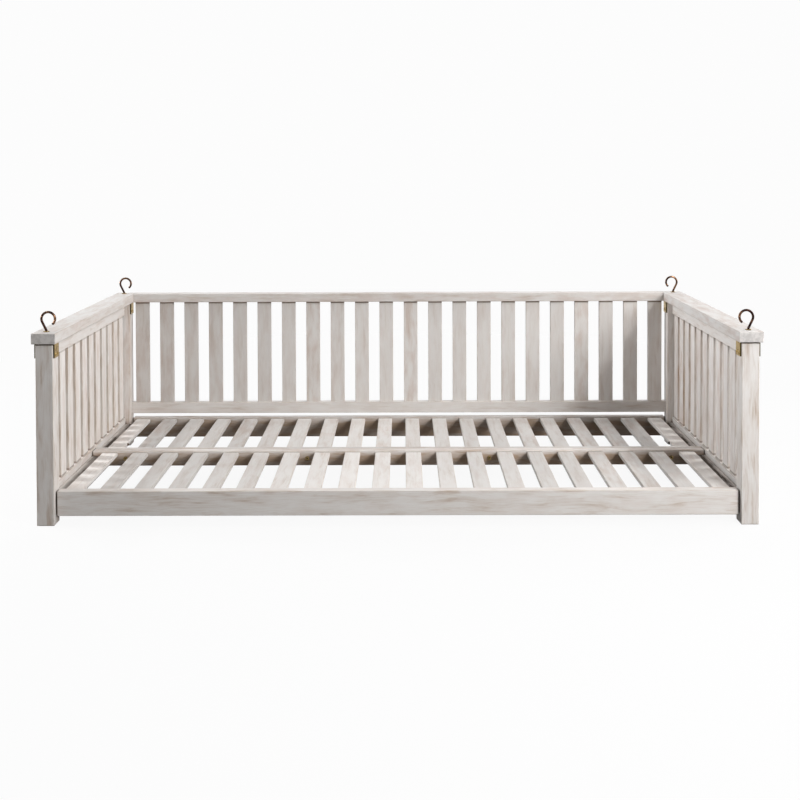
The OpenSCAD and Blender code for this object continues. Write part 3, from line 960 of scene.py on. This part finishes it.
@dataclass
class EndPanels(Woodwork):
    """Cap, rails and slats of the two ends.

    Attributes:
        bare_and_shaded_fronts: For each side, how bare the front edges of its first and its last slat are, as
            dark timber that stands in for shade between the slats, deeper towards the back.
        cap_pales: For each side, how much paler its cap is. Both are darker, the right one most, as painted
            shade against the lamps above.
        slat_joint_dirt_and_shade: Dirt and painted shade in the joints at the slats' feet and heads.
    """

    cap_radius: float = 2.4 * MM
    rail_radius: float = 1.2 * MM
    slat_radius: float = 1.6 * MM
    bare_and_shaded_fronts: tuple[tuple[float, float], ...] = ((0.35, 0.5), (0.0, 0.75))
    cap_pales: tuple[float, float] = (-0.08, -0.18)
    slat_joint_dirt_and_shade: tuple[float, float] = (0.65, 0.4)

    def build(self) -> None:
        """Makes the boards of both ends."""
        for side, fronts, pale in zip(SIDES, self.bare_and_shaded_fronts, self.cap_pales):
            cap, upper, lower = (f"{side}_{name}_rail" for name in ("cap", "upper", "lower"))
            # The caps are darker as painted shade, the right one most.
            self.lay(cap, [Board(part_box(cap), Axis.Y, (True, True), self.cap_radius, figure=0.3, pale=pale)])
            for rail in (upper, lower):
                box = self.between(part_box(rail), Axis.Y, f"{side}_front_post", f"{side}_rear_post")
                self.lay(rail, [Board(box, Axis.Y, radius=self.rail_radius)])
            slats = f"{side}_slats"
            boxes = [self.between(box, Axis.Z, lower, upper) for box in solids(slats)]
            # Dark timber on the slats' fronts is painted shade between the slats, deeper towards the back.
            fronts_thin_and_shaded = [Vector((0.0, -share, 0.0)) for share in gradient(fronts, len(boxes), 2)]
            look = {"radius": self.slat_radius, "joined": self.slat_joint_dirt_and_shade, "pale": 0.05}
            self.lay(slats, [Board(box, Axis.Z, thin_and_shaded=thin_and_shaded, **look) for box, thin_and_shaded in zip(boxes, fronts_thin_and_shaded)])


@dataclass
class BackPanel(Woodwork):
    """Cap, lower rail and slats of the back.

    Attributes:
        cap_dents: Depth of the dents in the cap's edges.
        cap_pale, rail_pale: How much paler the cap and the rail are. The darker cap is painted shade where the
            side lamps graze it.
        slat_pales: How much paler the first and the last slat are. The slats darken towards the left as
            painted shade.
        slat_joint_dirt_and_shade: Dirt in the joints at the slats' feet and heads, and painted shade under the
            cap at their heads.
    """

    cap_radius: float = 2.0 * MM
    cap_dents: float = 0.1 * MM
    rail_radius: float = 1.4 * MM
    cap_pale: float = -0.11
    rail_pale: float = -0.06
    slat_pales: tuple[float, float] = (-0.14, 0.02)
    slat_joint_dirt_and_shade: tuple[float, float] = (0.0, 1.0)

    def build(self) -> None:
        """Makes the boards of the back."""
        cap, rail, slats = "back_cap_rail", "back_lower_rail", "back_slats"
        # The cap is darker, as painted shade where the side lamps graze it.
        bar = Board(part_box(cap), Axis.X, radius=self.cap_radius, dents=self.cap_dents, pale=self.cap_pale)
        self.lay(cap, [bar])
        box = self.between(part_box(rail), Axis.X, "left_rear_post", "right_rear_post")
        self.lay(rail, [Board(box, Axis.X, radius=self.rail_radius, pale=self.rail_pale)])
        boxes = [self.between(box, Axis.Z, rail, cap) for box in solids(slats)]
        # Painted shade: the slats darken towards the left.
        pales = gradient(self.slat_pales, len(boxes))
        look = {"radius": self.rail_radius, "joined": self.slat_joint_dirt_and_shade, "figure": 0.2}
        self.lay(slats, [Board(box, Axis.Z, pale=pale, **look) for box, pale in zip(boxes, pales)])


@dataclass(frozen=True)
class SlatFrame:
    """One slat frame of the deck.

    Attributes:
        slats, front, rear: CAD nodes of its slats and of its two rails.
        rail_pale, slat_pale: How much paler its rails are, and its slats outside the painted pool of light.
        light_pool: How much paler than that the slats in its middle are, as a painted pool of light.
    """

    slats: str
    front: str
    rear: str
    rail_pale: float
    slat_pale: float
    light_pool: float


@dataclass
class Deck(Woodwork):
    """The two slat frames, and the cleats that carry them.

    Attributes:
        thin_and_shaded: How bare the rails' inner faces and the slats' undersides are, showing dark timber
            there, partly as painted shade.
        light_pool_at, light_pool_reach: X of a pool of light painted on the deck's slats, and how far it
            reaches to either side.
        outer_painted_light: How much paler than the others the outer slats are, as painted light against the
            end panels' shadow.
        slat_joint_dirt_and_shade: Dirt and painted shade in the joints at the slats' front and rear ends.
    """

    frames: tuple[SlatFrame, ...] = (
        SlatFrame("deck_front_slats", "deck_front_rail", "deck_middle_rail_front", 0.08, -0.12, 0.34),
        SlatFrame("deck_rear_slats", "deck_middle_rail_rear", "deck_rear_rail", -0.04, -0.17, 0.238),
    )
    rail_radius: float = 1.8 * MM
    slat_radius: float = 1.6 * MM
    cleat_radius: float = 0.6 * MM
    thin_and_shaded: float = 0.95
    light_pool_at: float = -0.1
    light_pool_reach: float = 0.36
    outer_painted_light: float = 0.2
    slat_joint_dirt_and_shade: tuple[float, float] = (0.0, 0.6)

    def slat_pales(self, frame: SlatFrame, boxes: list[Box]) -> list[float]:
        """How much paler each slat of a frame is, with a painted pool of light in the deck's middle and
        painted light on the outer slats.

        Args:
            frame: The frame.
            boxes: Boxes of its slats.

        Returns:
            A share for each slat.
        """
        offsets = [((low.x + high.x) / 2 - self.light_pool_at) / self.light_pool_reach for low, high in boxes]
        # Painted pool of light over the middle of the deck.
        pales = [frame.slat_pale + frame.light_pool * math.exp(-(offset**2)) for offset in offsets]
        # Painted light on the outer slats, against the end panels' shadow.
        for end in (0, -1):
            pales[end] += self.outer_painted_light
        return pales

    def build(self) -> None:
        """Makes the boards of the deck."""
        for frame in self.frames:
            for rail, inward in ((frame.front, 1.0), (frame.rear, -1.0)):
                # The rails' inner faces show dark timber, partly as painted shade under the deck.
                look = {"thin_and_shaded": ALONG_Y * self.thin_and_shaded * inward, "figure": 0.9, "pale": frame.rail_pale}
                self.lay(rail, [Board(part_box(rail), Axis.X, (True, True), self.rail_radius, **look)])
            boxes = [self.between(box, Axis.Y, frame.front, frame.rear) for box in solids(frame.slats)]
            # The slats' undersides show timber too, partly as painted shade under them.
            under = Vector((0.0, 0.0, -self.thin_and_shaded))
            look = {"radius": self.slat_radius, "thin_and_shaded": under, "joined": self.slat_joint_dirt_and_shade, "figure": 0.25}
            pales = self.slat_pales(frame, boxes)
            self.lay(frame.slats, [Board(box, Axis.Y, pale=pale, **look) for box, pale in zip(boxes, pales)])
        for side, inboard in zip(SIDES, (1, -1)):
            node = f"{side}_deck_cleats"
            # The cleats' inboard side is near black, as painted shade of the gap beside the outer slats.
            look = {"radius": self.cleat_radius, "painted_shade_side": inboard}
            self.lay(node, [Board(box, Axis.Y, (True, True), **look) for box in solids(node)], Finish.CLEATS)


@dataclass
class Straps(Assembly):
    """The brass straps over the posts and their screws.

    Attributes:
        bend, edge: Outer radius of a strap's two bends, and radius of its long edges.
        head, dome: Radius and height of a screw's head.
        rim: Share of that height that is upright.
        cross: Half the width of the driver's cross, half its span and its depth.
    """

    thick: float = 4 * MM
    bend: float = 4.6 * MM
    edge: float = 0.5 * MM
    head: float = 4 * MM
    dome: float = 2 * MM
    rim: float = 0.35
    cross: tuple[float, float, float] = (0.45 * MM, 2.3 * MM, 0.9 * MM)

    def band(self, box: Box) -> Skin:
        """Bends one strap over its post.

        Args:
            box: Box of its CAD solid.

        Returns:
            The faces of the strap, inside that box.
        """
        low, high = box
        half = self.thick / 2
        turn = self.bend - half
        x0, x1, top = low.x + half, high.x - half, high.z - half
        leg = low.z + 0.5 * (top - turn - low.z)
        line = [(x0, low.z), (x0, leg)] + arc((x0 + turn, top - turn), turn, 180.0, -90.0, 6)
        line += [((x0 + x1) / 2, top)] + arc((x1 - turn, top - turn), turn, 90.0, -90.0, 6)
        line += [(x1, leg), (x1, low.z)]
        middle, reach = (low.y + high.y) / 2, (high.y - low.y) / 2
        section = rounded_section(reach, half, self.edge, 0.0)
        # The strap's long edges are marked to be painted dark, as shade.
        cut = [1.0 if reach - abs(across) < 1.1 * self.edge else 0.0 for across, _ in section]
        path = [Vector((x, middle, z)) for x, z in line]
        skin = Skin()
        swept(skin, path, ALONG_Y, [section] * len(path), wear=cut * len(path))
        return skin

    def screw(self, skin: Skin, place: Vector, outward: Vector) -> None:
        """Adds one domed screw head with a cross recess.

        Args:
            skin: The piece that it is added to.
            place: Middle of the seat under the head.
            outward: Direction in which the head looks.
        """
        narrow, span, deep = self.cross

        def recess(x: float, y: float) -> float:
            """Depth of the cross at a point of the head."""
            arm, reach = sorted((abs(x), abs(y)))
            return deep if arm < narrow and reach < span else 0.0

        # The seat ring and the cross recess are painted dark, as shade.
        rings = [(self.head, 0.0, 1.0), (self.head, self.rim * self.dome, 0.0)]
        for angle in (math.radians(6 * k) for k in range(1, 15)):
            height = self.dome * (self.rim + (1 - self.rim) * math.sin(angle))
            rings.append((self.head * math.cos(angle) ** 0.85, height, 0.0))
        turned(skin, place, outward, rings, recess)

    def build(self) -> None:
        """Makes the four straps and all their screw heads, which look away from their posts."""
        for corner in CORNERS:
            node = f"{corner}_strap"
            self.pieces[node] = (self.band(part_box(node)).piece(f"{corner}_band"), Finish.BRASS)
        heads = Skin()
        for low, high in solids("strap_screws"):
            place = (low + high) / 2
            near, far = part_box("left_front_post" if place.x < 0 else "right_front_post")
            outward = math.copysign(1.0, place.x - (near.x + far.x) / 2)
            place.x = (high.x if outward > 0 else low.x) - outward * self.dome
            self.screw(heads, place, ALONG_X * outward)
        self.pieces["strap_screws"] = (heads.piece("strap_screw_heads"), Finish.BRASS)


@dataclass
class Hooks(Assembly):
    """The open hooks on the caps, with their washers.

    Attributes:
        wire, loop: Radius of the wire, and of the loop to the middle of the wire.
        rise, offset: Height of the loop's centre above the cap, and its distance inboard of the shank.
        bend, bend_up: Radius of the bend at the foot of the neck, and the height of its start.
        close: Angle by which the tip runs below the loop's inboard side.
        below: Length of the shank under the cap.
        tip: Length of a step of the rounded tip, and how far the wire is drawn in there.
        washer, washer_rim: Radius and thickness of the washer, and radius of its upper rim.
        washer_gap: Gap between the washer and the wire.
    """

    wire: float = 3.5 * MM
    loop: float = 19.5 * MM
    rise: float = 37 * MM
    offset: float = 5.5 * MM
    bend: float = 5 * MM
    bend_up: float = 2.65 * MM
    close: float = 50.0
    below: float = 44.8 * MM
    tip: tuple[float, float] = (0.28 * MM, 0.9 * MM)
    washer: tuple[float, float] = (8.5 * MM, 2.5 * MM)
    washer_rim: float = 0.7 * MM
    washer_gap: float = 0.08 * MM

    def path(self) -> Outline:
        """The middle of the wire, from the shank to the tip.

        Returns:
            Its points in X and Z above the cap, with outboard along +X.
        """
        run, climb = self.offset + self.bend, self.rise - self.bend_up
        lean = math.asin((self.loop + self.bend) / math.hypot(run, climb)) - math.atan2(run, climb)
        lean = math.degrees(lean)
        shank = [(0.0, -self.below), (0.0, -0.5 * self.below), (0.0, 0.0)]
        shank += arc((self.bend, self.bend_up), self.bend, 180.0, -lean, 6)
        loop = arc((-self.offset, self.rise), self.loop, -lean, 180.0 + self.close + lean, 48)
        (x0, z0), (x1, z1) = shank[-1], loop[0]
        neck = [(x0 + (x1 - x0) * share, z0 + (z1 - z0) * share) for share in (0.25, 0.5, 0.75)]
        return shank + neck + loop

    def build(self) -> None:
        """Bends the four hooks and turns their washers."""
        washers = Skin()
        for corner in CORNERS:
            side = corner.split("_")[0]
            outboard = -1.0 if side == "left" else 1.0
            low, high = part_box(f"{corner}_post")
            foot = (low + high) / 2
            foot.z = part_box(f"{side}_cap_rail")[1].z
            path = [foot + Vector((outboard * x, 0.0, z)) for x, z in self.path()]
            radii = [self.wire] * len(path)
            ahead = (path[-1] - path[-2]).normalized()
            step, drawn_in = self.tip
            for angle in (22.5, 45.0, 67.5, 90.0):
                path.append(path[-1] + ahead * step)
                radii.append(self.wire - drawn_in * (1 - math.cos(math.radians(angle))))
            skin = Skin()
            swept(skin, path, ALONG_Y, [arc((0.0, 0.0), radius, 90.0, -345.0, 23) for radius in radii])
            self.pieces[f"{corner}_hook"] = (skin.piece(f"{corner}_hook_wire", 50.0), Finish.BRONZE)
            self.turn_washer(washers, foot)
        self.pieces["hook_washers"] = (washers.piece("hook_base_washers"), Finish.OLIVE)

    def turn_washer(self, skin: Skin, foot: Vector) -> None:
        """Adds one washer with rounded rims.

        Args:
            skin: The piece that it is added to.
            foot: Middle of its seat on the cap.
        """
        radius, thick = self.washer
        bore, rim = self.wire + self.washer_gap, self.washer_rim
        profile = [(bore, 0.0), (radius - 0.2 * MM, 0.0), (radius, 0.2 * MM)]
        profile += arc((radius - rim, thick - rim), rim, 0.0, 90.0, 4)
        profile += [(bore + 0.4 * MM, thick), (bore, thick - 0.3 * MM)]
        spokes = [ALONG_X.copy() for _ in range(48)]
        for k, spoke in enumerate(spokes):
            spoke.rotate(Matrix.Rotation(math.tau * k / len(spokes), 3, "Z"))
        sections = [[foot + spoke * r + Vector((0.0, 0.0, z)) for r, z in profile] for spoke in spokes]
        skin.loft(sections, looped=True)


@dataclass
class DeckFixings(Assembly):
    """Bolts of the middle rails and the screws in the outer slats.

    Attributes:
        chamfer: Bevel round a bolt's head.
        socket: Distance across the flats of its socket, and the socket's depth.
        shank: Radius of a bolt's shank, and the bevel at its end.
        screw_head: Height of a screw's head.
    """

    chamfer: float = 0.9 * MM
    socket: tuple[float, float] = (5 * MM, 2.4 * MM)
    shank: tuple[float, float] = (3 * MM, 0.6 * MM)
    screw_head: float = 4 * MM

    def head(self, skin: Skin, place: Vector, outward: Vector, radius: float, tall: float) -> None:
        """Adds one flat round head with a six-sided socket.

        Args:
            skin: The piece that it is added to.
            place: Middle of the seat under the head.
            outward: Direction in which the head looks.
            radius: Radius of the head.
            tall: Height of the head.
        """
        flats, deep = self.socket
        key = hexagon(min(flats, 0.8 * radius))
        bevel = self.chamfer
        # The socket is painted dark, as shade.
        rings = [
            (radius, 0.0, 0.0),
            (radius, tall - bevel, 0.0),
            (radius - 0.3 * bevel, tall - 0.3 * bevel, 0.0),
            (radius - bevel, tall, 0.0),
            (0.5 * radius + 0.5 * flats, tall, 0.0),
            (key, tall, 0.0),
            (key, tall - 0.15 * MM, 1.0),
            (key, tall - deep, 1.0),
            (lambda angle: 0.5 * key(angle), tall - deep - 0.2 * MM, 1.0),
        ]
        turned(skin, place, outward, rings)

    def build(self) -> None:
        """Makes the bolts and the side screws."""
        bolts, screws = Skin(), Skin()
        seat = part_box("deck_middle_rail_front")[0].y
        thick, bevel = self.shank
        for low, high in solids("deck_bolts"):
            place = (low + high) / 2
            place.y = seat
            self.head(bolts, place, -ALONG_Y, (high.x - low.x) / 2, seat - low.y)
            long = high.y - seat
            rings = [(thick, 0.0, 0.0), (thick, long - bevel, 0.0), (thick - bevel, long, 0.0)]
            turned(bolts, place, ALONG_Y, rings, segments=24)
        for low, high in solids("slat_side_screws"):
            place = (low + high) / 2
            inward = -math.copysign(1.0, place.x)
            place.x = (low.x if inward < 0 else high.x) - inward * self.screw_head
            self.head(screws, place, ALONG_X * inward, (high.y - low.y) / 2, self.screw_head)
        self.pieces["deck_bolts"] = (bolts.piece("deck_bolt_heads"), Finish.OLIVE)
        self.pieces["slat_side_screws"] = (screws.piece("outer_slat_screw_heads"), Finish.BRONZE)


def paint_hidden(palette: Palette) -> None:
    """Gives a finish to the CAD parts that keep their own solids.

    Args:
        palette: The bed's materials.
    """
    nuts = tuple(f"{hook}_nut" for hook in HOOKS)
    zinc = ("deck_bolt_washers", "deck_bolt_nuts", "cleat_screws", "deck_slat_screws") + nuts
    for nodes, finish in ((zinc, Finish.ZINC), (("cap_dowels", "back_cap_dowels"), Finish.DOWEL)):
        for node in nodes:
            materials = bpy.data.objects[node].data.materials
            materials.clear()
            materials.append(palette[finish])
            LOG.info("%s: painted", node)


# -------- studio


@dataclass(frozen=True)
class Lamp:
    """One soft lamp, with its width and height in size and its watts in power."""

    name: str
    place: Place
    aim: Place
    size: tuple[float, float]
    power: float
    tint: Colour = (1.0, 1.0, 1.0)

    def hang(self) -> None:
        """Puts the lamp in the scene."""
        light = bpy.data.lights.new(self.name, "AREA")
        light.shape = "RECTANGLE"
        light.size, light.size_y = self.size
        light.energy = self.power
        light.color = self.tint
        lamp = linked(self.name, light)
        lamp.location = self.place
        lamp.rotation_euler = (Vector(self.aim) - Vector(self.place)).to_track_quat("-Z", "Y").to_euler()


def looked_at(graph: Graph) -> Signal:
    """Finds the rays that come from the camera, straight or by way of a gloss or a glass.

    Args:
        graph: The tree that asks.

    Returns:
        1 for such a ray and 0 for any other.
    """
    path = graph.add("LightPath").outputs
    rays = ("Camera", "Glossy", "Transmission")
    seen, gloss, glass = (Signal(graph, path[f"Is {ray} Ray"]) for ray in rays)
    return seen.sum("MAXIMUM", gloss).sum("MAXIMUM", glass)


@dataclass
class Studio:
    """White room, soft lamps and the pale floor.

    Attributes:
        lamps: The lamps.
        sky, sky_tint: Strength and colour of the white room as a light.
        white: The white of the backdrop and the floor, as the camera sees them.
        floor_half, floor_drop: Half the side of the floor, and how far it lies under the feet.
        bounce: How much light the floor gives back to the bed.
        shadow: How much of the floor's white comes from the lamps, under the bed.
        shadow_reach: Distances from the bed's middle at which that ends and is full.
    """

    lamps: tuple[Lamp, ...] = (
        Lamp("right_key", (1.9, -2.4, 1.4), (0.4, 0.0, 0.3), (0.8, 0.8), 33.0),
        Lamp("right_high", (3.2, -2.8, 3.4), (0.0, 0.0, 0.3), (0.4, 0.4), 50.0),
        Lamp("right_side", (3.4, -1.2, 1.9), (0.3, 0.0, 0.3), (0.35, 0.35), 6.0),
        Lamp("right_front", (3.0, -4.0, 1.6), (0.8, 0.0, 0.3), (1.6, 1.6), 58.0),
        Lamp("left_front", (-3.5, -3.0, 2.0), (0.3, 0.0, 0.4), (2.0, 2.0), 7.0),
        Lamp("left_bank", (-4.5, 0.2, 1.2), (0.0, 0.0, 0.4), (0.8, 1.2), 162.0, (0.94, 0.97, 1.0)),
        Lamp("left_high", (-1.9, 0.1, 2.4), (-0.6, 0.0, 0.1), (0.2, 0.2), 11.0),
        Lamp("right_bank", (4.5, 0.2, 1.2), (0.0, 0.0, 0.4), (0.8, 1.2), 67.0),
        Lamp("right_low", (1.9, 0.1, 2.4), (0.6, 0.0, 0.1), (0.2, 0.2), 12.0),
        Lamp("back_bank", (0.0, 4.5, 2.6), (0.0, 0.0, 0.3), (5.0, 2.0), 112.0, (0.92, 0.96, 1.0)),
    )
    sky: float = 0.16
    sky_tint: Colour = (1.0, 0.97, 0.945)
    white: float = 0.975
    floor_half: float = 30.0
    floor_drop: float = 0.4 * MM
    bounce: float = 0.1
    shadow: float = 0.05
    shadow_reach: tuple[float, float] = (3.0, 1.2)

    def light(self) -> None:
        """Lights the room and hangs the lamps."""
        scene = bpy.context.scene
        scene.view_settings.view_transform = "Standard"
        scene.world = bpy.data.worlds.new("white_room")
        scene.world.use_nodes = True
        scene.world.node_tree.nodes.clear()
        graph = Graph(scene.world.node_tree)
        lit = graph.value("Background", {"Color": (*self.sky_tint, 1), "Strength": self.sky})
        shown = graph.value("Background", {"Color": (1, 1, 1, 1), "Strength": self.white})
        graph.add("OutputWorld", {0: graph.value("MixShader", {0: looked_at(graph), 1: lit, 2: shown})})
        for lamp in self.lamps:
            lamp.hang()

    def lay_floor(self) -> None:
        """Lays the floor, which keeps a faint shadow."""
        reach = self.floor_half
        mesh = bpy.data.meshes.new("studio_floor")
        corners = [(x * reach, y * reach, -self.floor_drop) for x, y in ((-1, -1), (1, -1), (1, 1), (-1, 1))]
        mesh.from_pydata(corners, [], [(0, 1, 2, 3)])
        material, graph = blank("white_floor")
        matt = graph.value("BsdfDiffuse", {"Color": (self.bounce, self.bounce, self.bounce, 1)})
        away = graph.value("NewGeometry", output="Position").sum("LENGTH", output="Value")
        near = graph.fit(away, *self.shadow_reach, 0.0, self.shadow)
        lit = graph.value("BsdfDiffuse", {"Color": (1, 1, 1, 1)})
        glow = graph.value("Emission", {"Color": (1, 1, 1, 1), "Strength": self.white})
        bright = graph.value("MixShader", {0: near, 1: glow, 2: lit})
        mixed = graph.value("MixShader", {0: looked_at(graph), 1: matt, 2: bright})
        graph.add("OutputMaterial", {0: mixed})
        mesh.materials.append(material)
        floor = linked("studio_floor", mesh)


@dataclass(frozen=True)
class PhotoCamera:
    """The photograph's camera, in front of the bed and above it.

    Attributes:
        pitch, yaw, roll: How far it looks down, turns to the right and leans.
        focal_px, image_px: Focal length and side of the square image, in pixels.
        shift: Vertical shift of its lens, as a share of the image.
        sensor: Width of its sensor, in millimetres.
    """

    place: Place = (0.0199, -3.5605, 1.0493)
    pitch: float = 1.25
    yaw: float = -0.178
    roll: float = -0.191
    focal_px: float = 1093.9
    image_px: float = 800.0
    shift: float = -0.2734
    sensor: float = 36.0

    def stand(self) -> None:
        """Puts the camera in the scene and looks through it."""
        optics = bpy.data.cameras.new("photo_camera")
        optics.sensor_width = self.sensor
        optics.lens = self.focal_px / self.image_px * self.sensor
        optics.shift_y = self.shift
        camera = linked("photo_camera", optics)
        pose = Matrix.Translation(self.place)
        for angle, axis in ((-self.yaw, "Z"), (90.0 - self.pitch, "X"), (self.roll, "Z")):
            pose = pose @ Matrix.Rotation(math.radians(angle), 4, axis)
        camera.matrix_world = pose
        bpy.context.scene.camera = camera


def main() -> None:
    """Builds the bed's looks on its frame, in a studio."""
    logging.basicConfig(level=logging.INFO, format="%(name)s: %(message)s")
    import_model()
    PhotoCamera().stand()
    studio = Studio()
    studio.light()
    studio.lay_floor()
    effects = Effects()
    palette = {finish: finish.value.material(effects) for finish in Finish}
    for kind in (Posts, EndPanels, BackPanel, Deck, Straps, Hooks, DeckFixings):
        assembly = kind(palette)
        assembly.build()
        assembly.dress()
    paint_hidden(palette)


if __name__ == "__main__":
    main()
